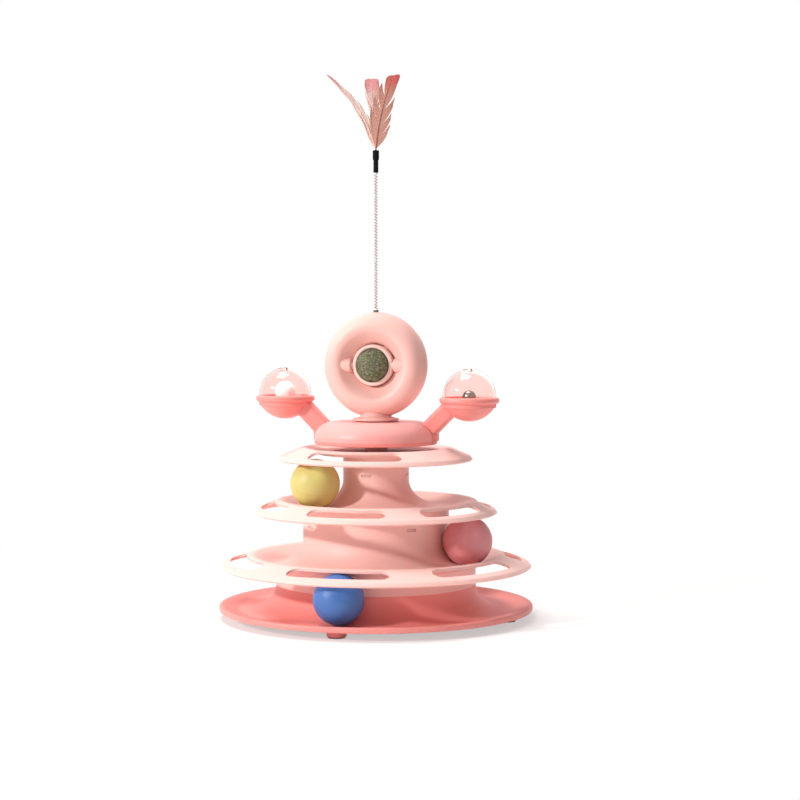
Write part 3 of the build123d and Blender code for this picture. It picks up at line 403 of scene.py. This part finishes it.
flake_points = np.stack(
    (
        flake_middle + flake_length,
        flake_middle + flake_width,
        flake_middle - flake_length,
        flake_middle - flake_width,
        flake_middle + flake_depth,
        flake_middle - flake_depth,
    ),
    axis=1,
)
flake_upper = ((0, 1, 4), (1, 2, 4), (2, 3, 4), (3, 0, 4))
flake_lower = ((1, 0, 5), (2, 1, 5), (3, 2, 5), (0, 3, 5))
flake_first = np.arange(flake_count)[:, None, None] * flake_points.shape[1]
flake_faces = (flake_first + np.array(flake_upper + flake_lower)).reshape(-1, 3)
catnip_flakes = put_mesh("catnip_flakes", flake_points, False, flake_faces)

dried_leaf, leaf_tree, leaf_shader = new_material(
    "dried_leaf", {"Roughness": 0.85, "Specular IOR Level": 0.2}
)
leaf_place = add_node(leaf_tree, "ShaderNodeTexCoord")
leaf_bits = add_node(leaf_tree, "ShaderNodeTexVoronoi", {"Scale": 900.0})
leaf_hue = add_node(leaf_tree, "ShaderNodeSeparateColor")
leaf_ramp = colour_ramp(
    leaf_tree,
    (0.0, (74, 84, 58)), (0.30, (96, 112, 78)), (0.52, (122, 128, 96)),
    (0.68, (112, 92, 76)), (0.84, (140, 122, 110)), (1.0, (150, 158, 132)),
)
leaf_bump = add_node(leaf_tree, "ShaderNodeBump", {"Strength": 0.6, "Distance": 0.0004})
link(
    leaf_tree,
    (leaf_place, "Object", leaf_bits, "Vector"),
    (leaf_bits, "Color", leaf_hue, "Color"),
    (leaf_hue, "Red", leaf_ramp, "Fac"),
    (leaf_ramp, "Color", leaf_shader, "Base Color"),
    (leaf_bits, "Distance", leaf_bump, "Height"),
    (leaf_bump, "Normal", leaf_shader, "Normal"),
)
for leaf_piece in (catnip_core, catnip_flakes):
    leaf_piece.data.materials.append(dried_leaf)
    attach(leaf_piece, "catnip")
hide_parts("catnip_ball")

# Wand socket: a small ferrule on top of the head, coloured dark grey-brown, which holds the foot of the
# spring.
# Its plug is clamped between the two halves of the head.
dark_plastic = moulded_plastic("dark_plastic", (112, 104, 100), (98, 90, 87), dull=0.45, cloud=0.0)
dress(dark_plastic, "wand_socket")

# Wand spring: one bright hard-drawn wire wound in open turns, its ends straight where they enter socket and
# sleeve.
spring_low, spring_high = np.array(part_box("wand_spring"))
spring_wire, spring_radius = 0.0009, 0.00105
spring_turns, spring_turn_steps, spring_sides = 46, 18, 8
spring_ease_turns = 0.9

# Centre line: height grows evenly. The turning speed eases in and out at each end, in the height of the ease
# turns, so the line is upright there and a helix of constant pitch between.
spring_share = np.linspace(0.0, 1.0, spring_turns * spring_turn_steps + 1)
spring_end_turns = np.minimum(spring_share, 1.0 - spring_share) * spring_turns
spring_ease = np.clip(spring_end_turns / spring_ease_turns, 0.0, 1.0)
spring_speed = spring_ease**2 * (3 - 2 * spring_ease)
spring_angle = np.concatenate(((0.0,), np.cumsum((spring_speed[1:] + spring_speed[:-1]) / 2)))
spring_angle *= 2 * np.pi * spring_turns / spring_angle[-1]
spring_out = np.stack((np.cos(spring_angle), np.sin(spring_angle), np.zeros_like(spring_angle)), axis=-1)
spring_line = spring_radius * spring_out
spring_line[:, 2] = spring_low[2] + spring_share * (spring_high[2] - spring_low[2])


def tube(line, radii, sides, guide):
    """A round tube: circles of the given radii, square to a line of points.

    Circle: cos(angle) times the guide, made square to the line, plus sin(angle) times the way square to both,
    so that no circle twists against the next.
    """
    along = unit(np.gradient(line, axis=0))
    first = unit(guide - along * np.sum(along * guide, axis=-1, keepdims=True))
    second = np.cross(along, first)
    angle = np.linspace(0.0, 2 * np.pi, sides, endpoint=False)[None, :, None]
    rings = np.cos(angle) * first[:, None] + np.sin(angle) * second[:, None]
    return line[:, None] + radii[:, None, None] * rings


def tube_faces(rows, sides):
    """Quads round a tube, and quads laid side by side across its first and its last ring to close it."""
    step = np.arange(sides // 2 - 1)
    cap = np.stack((step, step + 1, sides - 2 - step, sides - 1 - step), axis=-1)
    return np.concatenate((grid_faces(rows, sides, True), cap[:, ::-1], cap + (rows - 1) * sides))


spring_rings = tube(spring_line, np.full(len(spring_line), spring_wire / 2), spring_sides, spring_out)
spring_coil = put_mesh("spring_coil", spring_rings, True, tube_faces(len(spring_line), spring_sides))
spring_steel, spring_tree, spring_shader = new_material(
    "spring_steel", {"Base Color": tone(200, 193, 189), "Metallic": 1.0}
)
mottle(spring_tree, spring_shader, scale=700.0, least=0.22, most=0.36)
spring_coil.data.materials.append(spring_steel)
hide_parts("wand_spring")
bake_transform(spring_coil)

# Wand sleeve: black shrink tube over the spring's end and the quills, with a thicker grip at the top.
# Matt rubber that hardly mirrors anything.
sleeve_rubber = moulded_plastic("sleeve_rubber", (14, 13, 12), (10, 9, 9), dull=0.62, cloud=0.0)
fill(sleeve_rubber.node_tree.nodes["Principled BSDF"], {"Specular IOR Level": 0.12})
dress(sleeve_rubber, "wand_sleeve")

# Feathers: three dyed quills glued into the sleeve, flat to the viewer. Each vane is a row of flat barbs on
# both sides of the quill, which cling together in clumps and end in ragged points. The dye changes from
# foot to tip.
view_turn = np.radians(17.0)
view_right = np.array((np.cos(view_turn), np.sin(view_turn), 0.0))
view_near = np.array((np.sin(view_turn), -np.cos(view_turn), 0.0))
view_up = np.array((0.0, 0.0, 1.0))
feather_foot = np.array((0.0, 0.0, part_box("wand_sleeve")[1][2]))
vane_start_share, vane_end_share = 0.03, 0.985
vane_width_shares = (0.0, 0.2, 0.3, 0.4, 0.55, 0.73, 0.9, 0.96, 0.985, 1.0)
barb_count, barb_steps, barb_sides = 170, 7, 4
barb_half_width, barb_half_depth, barb_tilt = 0.00034, 0.00003, 0.00007
barb_ahead_share, barb_close_share, barb_bow_share = 0.2, 0.35, 0.10
barb_taper_share, barb_ragged_share = 0.6, 0.03
barb_rise_share = 1 / 30
clump_rise = 0.0003
stem_rows, stem_sides, stem_rise = 40, 8, 0.0001
stem_shares, stem_radii = (-0.05, 0.25, 0.93), (0.00055, 0.00040, 0.00010)
dye_shares = (0.0, 0.45, 0.76, 0.88, 1.0)


def quill(bent, share):
    """A quill in its own plane: its points at shares of its length, and the ways along it and to its left.

    Point: the share of the line from foot to tip, plus a bow, 4 * bow * share * (1 - share), square to it.
    """
    length, lean, bow = bent
    share = np.asarray(share)[..., None]
    tip = np.array((lean, length))
    square = unit(np.array((-length, lean)))
    along = unit(tip + square * (4 * bow * (1 - 2 * share)))
    left = np.stack((-along[..., 1], along[..., 0]), axis=-1)
    return tip * share + square * (4 * bow * share * (1 - share)), along, left


def barbs(draw, bent, slant, layer, side, widths, splits, cling):
    """The barbs on one side of a quill, 1 for left and -1 for right: flat four-sided tubes and their marks.

    Barb: a quadratic curve from the quill to the vane's edge further on, less far on near the tip, where the
    barbs close up. Its middle is pushed outwards, so it curves to the tip. It narrows with the cube of its
    length and rises with the square, and one edge is lower, so it lies on the next barb.
    Slant: ends shift along the quill, one side up and one down, by slant times their distance from it times
    the sixth power of their share of its length, so only near the tip.
    Clump: between two splits, ends move a part of the way, cling, to the end of the last barb of their clump.
    Marks: the share of the quill's length and the share of the barb's.
    """
    root_share = np.linspace(vane_start_share, vane_end_share, barb_count)
    end_share = np.minimum(root_share + barb_ahead_share, 1.0 - barb_close_share * (1.0 - root_share))
    root, root_along, root_left = quill(bent, root_share)
    end, end_along, end_left = quill(bent, end_share)
    clump = np.searchsorted(splits, root_share)
    last = np.searchsorted(clump, clump, side="right") - 1
    reach = np.interp(end_share, vane_width_shares, widths)
    reach = reach * draw.uniform(1.0 - barb_ragged_share, 1.0 + barb_ragged_share, barb_count)
    end = end + side * reach[:, None] * (end_left - slant * end_share[:, None] ** 6 * end_along)
    end = end + (end[last] - end) * cling
    push = np.linalg.norm(end - root, axis=-1, keepdims=True)
    bend = (root + end) / 2 + (side * root_left - root_along) * barb_bow_share * push
    step = np.linspace(0.0, 1.0, barb_steps)
    part = step[None, :, None]
    line = (1 - part) ** 2 * root[:, None] + 2 * part * (1 - part) * bend[:, None] + part**2 * end[:, None]
    way = unit(np.gradient(line, axis=1))
    beside = np.stack((-way[..., 1], way[..., 0]), axis=-1)
    half = beside * barb_half_width * (1.0 - barb_taper_share * part**3)
    rise = barb_rise_share * push + draw.uniform(-clump_rise, clump_rise, len(splits) + 1)[clump][:, None]
    lift = layer + rise[:, None] * part**2
    tilt = side * barb_tilt
    corners = ((1, -tilt), (0, barb_half_depth), (-1, tilt), (0, -barb_half_depth))
    ring = [np.concatenate((line + across * half, lift + up), axis=-1) for across, up in corners]
    place = root_share[:, None] + (end_share - root_share)[:, None] * step
    marks = np.stack((place, step * np.ones_like(place)), axis=-1)
    return np.stack(ring, axis=2).reshape(-1, 3), marks.reshape(-1, 2).repeat(barb_sides, axis=0)


def feather_dye(name, dyes, quill_colour):
    """Dyed barbs: a ramp from foot to tip, fine streaks over it, and the quill in its own colour."""
    material, tree, shader = new_material(
        name, {"Roughness": 0.75, "Specular IOR Level": 0.15, "Sheen Weight": 0.25}
    )
    streak_shade = {"B": (0.84, 0.79, 0.77, 1.0)}
    stem_below = {1: -0.5}
    mark = add_node(tree, "ShaderNodeAttribute", attribute_name="barb")
    parts = add_node(tree, "ShaderNodeSeparateXYZ")
    ramp = colour_ramp(tree, *zip(dye_shares, dyes))
    place = add_node(tree, "ShaderNodeTexCoord")
    streak = add_node(tree, "ShaderNodeTexNoise", {"Scale": 260.0})
    shade = add_node(tree, "ShaderNodeMix", streak_shade, data_type="RGBA", blend_type="MULTIPLY")
    stem = add_node(tree, "ShaderNodeMath", stem_below, operation="LESS_THAN")
    stem_mix = add_node(tree, "ShaderNodeMix", {"B": tone(*quill_colour)}, data_type="RGBA")
    link(
        tree,
        (mark, "Vector", parts, "Vector"),
        (parts, "X", ramp, "Fac"),
        (place, "Object", streak, "Vector"),
        (streak, "Fac", shade, "Factor"),
        (ramp, "Color", shade, "A"),
        (parts, "Y", stem, 0),
        (stem, "Value", stem_mix, "Factor"),
        (shade, "Result", stem_mix, "A"),
        (stem_mix, "Result", shader, "Base Color"),
    )
    return material


def feather(name, node, bent, slant, layer, seed, left, right, dyes, quill_colour):
    """A feather: barbs on both sides of a stem, which is a round tube along the quill and thins to the tip.

    Bent is the quill's length, lean and bow, and layer its distance in front of the wand's axis. The stem's
    second mark is -1, so that the dye can tell it from the barbs.
    """
    draw = np.random.default_rng(seed)
    left_points, left_marks = barbs(draw, bent, slant, layer, 1, **left)
    right_points, right_marks = barbs(draw, bent, slant, layer, -1, **right)
    stem_share = np.linspace(stem_shares[0], stem_shares[-1], stem_rows)
    stem_lift = np.full((stem_rows, 1), layer + stem_rise)
    stem_line = np.concatenate((quill(bent, stem_share)[0], stem_lift), axis=1)
    stem_back = np.array((0.0, 0.0, -1.0))
    stem = tube(stem_line, np.interp(stem_share, stem_shares, stem_radii), stem_sides, stem_back)
    stem_marks = np.stack((stem_share.repeat(stem_sides), np.full(stem_rows * stem_sides, -1.0)), axis=-1)
    barb_first = np.arange(2 * barb_count)[:, None, None] * (barb_steps * barb_sides)
    barb_faces = (barb_first + tube_faces(barb_steps, barb_sides)).reshape(-1, 4)
    stem_faces = len(left_points) + len(right_points) + tube_faces(stem_rows, stem_sides)
    points = np.concatenate((left_points, right_points, stem.reshape(-1, 3)))
    placed = feather_foot + points @ np.stack((view_right, view_up, view_near))
    piece = put_mesh(name, placed, False, barb_faces, stem_faces)
    marks = np.concatenate((left_marks, right_marks, stem_marks)).astype(np.float32)
    piece.data.attributes.new("barb", "FLOAT2", "POINT").data.foreach_set("vector", marks.ravel())
    piece.data.materials.append(feather_dye(name + "_dye", dyes, quill_colour))
    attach(piece, "wand")
    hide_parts(node)


feather(
    "front_vane", "front_feather", bent=(0.0590, 0.0138, 0.0022), slant=0.6, layer=0.0011, seed=21,
    left={
        "widths": (0.0004, 0.0062, 0.0080, 0.0088, 0.0090, 0.0080, 0.0060, 0.0052, 0.0044, 0.0008),
        "splits": (0.34, 0.50, 0.68),
        "cling": 0.50,
    },
    right={
        "widths": (0.0004, 0.0068, 0.0084, 0.0078, 0.0072, 0.0068, 0.0072, 0.0068, 0.0056, 0.0010),
        "splits": (0.05, 0.16, 0.31, 0.52),
        "cling": 0.40,
    },
    dyes=((228, 172, 156), (220, 166, 149), (216, 156, 142), (226, 124, 118), (222, 110, 107)),
    quill_colour=(156, 96, 90),
)
feather(
    "back_vane", "back_feather", bent=(0.0564, -0.0032, 0.0004), slant=0.0, layer=-0.0011, seed=34,
    left={
        "widths": (0.0004, 0.0006, 0.0006, 0.0007, 0.0010, 0.0050, 0.0066, 0.0064, 0.0054, 0.0010),
        "splits": (0.50, 0.62),
        "cling": 0.20,
    },
    right={
        "widths": (0.0004, 0.0012, 0.0016, 0.0022, 0.0036, 0.0056, 0.0062, 0.0060, 0.0052, 0.0010),
        "splits": (0.22, 0.52),
        "cling": 0.20,
    },
    dyes=((250, 218, 206), (252, 224, 214), (255, 222, 214), (252, 184, 184), (250, 170, 174)),
    quill_colour=(250, 206, 198),
)
feather(
    "slim_vane", "slim_feather", bent=(0.0590, -0.0386, -0.0060), slant=0.0, layer=0.0, seed=47,
    left={
        "widths": (0.0004, 0.0016, 0.0019, 0.0020, 0.0012, 0.0008, 0.0006, 0.0004, 0.0003, 0.0001),
        "splits": (0.25, 0.55),
        "cling": 0.30,
    },
    right={
        "widths": (0.0004, 0.0034, 0.0040, 0.0040, 0.0034, 0.0018, 0.0012, 0.0008, 0.0005, 0.0001),
        "splits": (0.20, 0.38, 0.56),
        "cling": 0.45,
    },
    dyes=((250, 200, 184), (255, 232, 222), (252, 218, 214), (244, 190, 196), (238, 176, 186)),
    quill_colour=(250, 212, 202),
)

# Track balls: three hollow balls of satin plastic, one loose in each track.
# Each is welded from two halves, along a line that lies its own way.
for ball_finish, ball_node, *ball_look in (
    ("blue_plastic", "blue_ball", (71, 117, 184), (65, 109, 177), 0.38, (0.4, 0.3, 1.0)),
    ("rose_plastic", "pink_ball", (225, 144, 148), (217, 135, 139), 0.42, (-0.3, 0.5, 1.0)),
    ("yellow_plastic", "yellow_ball", (217, 205, 125), (211, 197, 116), 0.38, (0.2, -0.4, 1.0)),
):
    dress(ball_plastic(ball_finish, ball_node, *ball_look), ball_node)

# Stage: a plain pale floor that keeps the toy's shadow and fades to white with distance, and the white
# surroundings that it melts into. Only rays that look at them see white: the light they give is dimmer.


def seen_rays(tree):
    """1 for rays that look at a surface, 0 for light on its way: the greatest of three Light Path masks."""
    path = add_node(tree, "ShaderNodeLightPath")
    either = add_node(tree, "ShaderNodeMath", operation="MAXIMUM")
    seen = add_node(tree, "ShaderNodeMath", operation="MAXIMUM")
    link(
        tree,
        (path, "Is Camera Ray", either, 0),
        (path, "Is Glossy Ray", either, 1),
        (either, "Value", seen, 0),
        (path, "Is Transmission Ray", seen, 1),
    )
    return seen


floor_reach, floor_rows = 6.0, 9
floor_fade_near, floor_fade_far, floor_white_share = 0.12, 0.55, 0.5
floor_edge = np.linspace(-floor_reach, floor_reach, floor_rows)
floor_across, floor_deep = np.meshgrid(floor_edge, floor_edge)
floor_points = np.stack((floor_across, floor_deep, np.zeros_like(floor_deep)), axis=-1)
floor = put_mesh("floor", floor_points, False, grid_faces(floor_rows, floor_rows, False))
pale_floor, floor_tree, floor_shader = new_material(
    "pale_floor", {"Base Color": tone(246, 244, 243), "Roughness": 0.9, "Specular IOR Level": 0.0}
)
floor_range = {"From Min": floor_fade_near, "From Max": floor_fade_far, "To Min": floor_white_share}
floor_place = add_node(floor_tree, "ShaderNodeTexCoord")
floor_far = add_node(floor_tree, "ShaderNodeVectorMath", operation="LENGTH")
floor_fade = add_node(floor_tree, "ShaderNodeMapRange", floor_range, interpolation_type="SMOOTHSTEP")
floor_seen = add_node(floor_tree, "ShaderNodeMath", operation="MULTIPLY")
floor_white = add_node(floor_tree, "ShaderNodeEmission")
floor_mix = add_node(floor_tree, "ShaderNodeMixShader")
link(
    floor_tree,
    (floor_place, "Object", floor_far, 0),
    (floor_far, "Value", floor_fade, "Value"),
    (floor_fade, "Result", floor_seen, 0),
    (seen_rays(floor_tree), "Value", floor_seen, 1),
    (floor_seen, "Value", floor_mix, "Fac"),
    (floor_shader, "BSDF", floor_mix, 1),
    (floor_white, "Emission", floor_mix, 2),
    (floor_mix, "Shader", floor_tree.nodes["Material Output"], "Surface"),
)
floor.data.materials.append(pale_floor)

surroundings = bpy.data.worlds.new("surroundings")
surroundings.use_nodes = True
air_tree = surroundings.node_tree
air_light = fill(air_tree.nodes["Background"], {"Color": (1.0, 0.95, 0.925, 1.0), "Strength": 0.22})
air_white = add_node(air_tree, "ShaderNodeBackground", {"Color": (1.0, 1.0, 1.0, 1.0)})
air_mix = add_node(air_tree, "ShaderNodeMixShader")
link(
    air_tree,
    (seen_rays(air_tree), "Value", air_mix, "Fac"),
    (air_light, "Background", air_mix, 1),
    (air_white, "Background", air_mix, 2),
    (air_mix, "Shader", air_tree.nodes["World Output"], "Surface"),
)
bpy.context.scene.world = surroundings

# Lamps: a small low key from the left, turned a third of the way to the viewer, a broad soft lamp overhead
# and a weak one behind. All are square and point at the tower, and glossy pieces mirror only the key.
lamp_aim = Vector((0.0, 0.0, 0.15))
key_turn, key_rise, key_far = np.radians(31.0), np.radians(23.0), 3.0
key_level = view_near * np.sin(key_turn) - view_right * np.cos(key_turn)
key_place = lamp_aim + Vector((key_level * np.cos(key_rise) + view_up * np.sin(key_rise)) * key_far)
top_place, back_place = Vector((-0.4, 0.1, 2.0)), Vector((0.2, 1.6, 1.2))
for lamp_name, lamp_place, lamp_size, lamp_watts, lamp_colour, lamp_mirrored in (
    ("key_lamp", key_place, 0.20, 60.0, (1.0, 0.985, 0.97), True),
    ("top_lamp", top_place, 1.0, 40.0, (1.0, 0.99, 0.98), False),
    ("back_lamp", back_place, 1.8, 7.0, (1.0, 0.99, 0.98), False),
):
    lamp = bpy.data.lights.new(lamp_name, "AREA")
    lamp.size = lamp_size
    lamp.energy = lamp_watts
    lamp.color = lamp_colour
    lamp_holder = bpy.data.objects.new(lamp_name, lamp)
    lamp_holder.location = lamp_place
    lamp_holder.visible_glossy = lamp_mirrored
    lamp_holder.rotation_euler = (lamp_aim - lamp_place).to_track_quat("-Z", "Y").to_euler()
    bpy.context.scene.collection.objects.link(lamp_holder)

# Camera: a long lens a metre and a half away, a little above half the toy's height and round to its right.
# It aims a little to the right of the tower's axis and below its own height.
camera_far, camera_height, camera_lens = 1.480, 0.237, 84.33
camera_aim_right, camera_aim_drop = 0.01896, 0.06557
camera_data = bpy.data.cameras.new("camera")
camera_data.sensor_width = 36.0
camera_data.lens = camera_lens
camera = bpy.data.objects.new("camera", camera_data)
camera.location = view_near * camera_far + view_up * camera_height
camera_aim = Vector(view_right * camera_aim_right + view_up * (camera_height - camera_aim_drop))
camera.rotation_euler = (camera_aim - camera.location).to_track_quat("-Z", "Y").to_euler()
bpy.context.scene.collection.objects.link(camera)
bpy.context.scene.camera = camera
bpy.context.scene.view_settings.view_transform = "Standard"
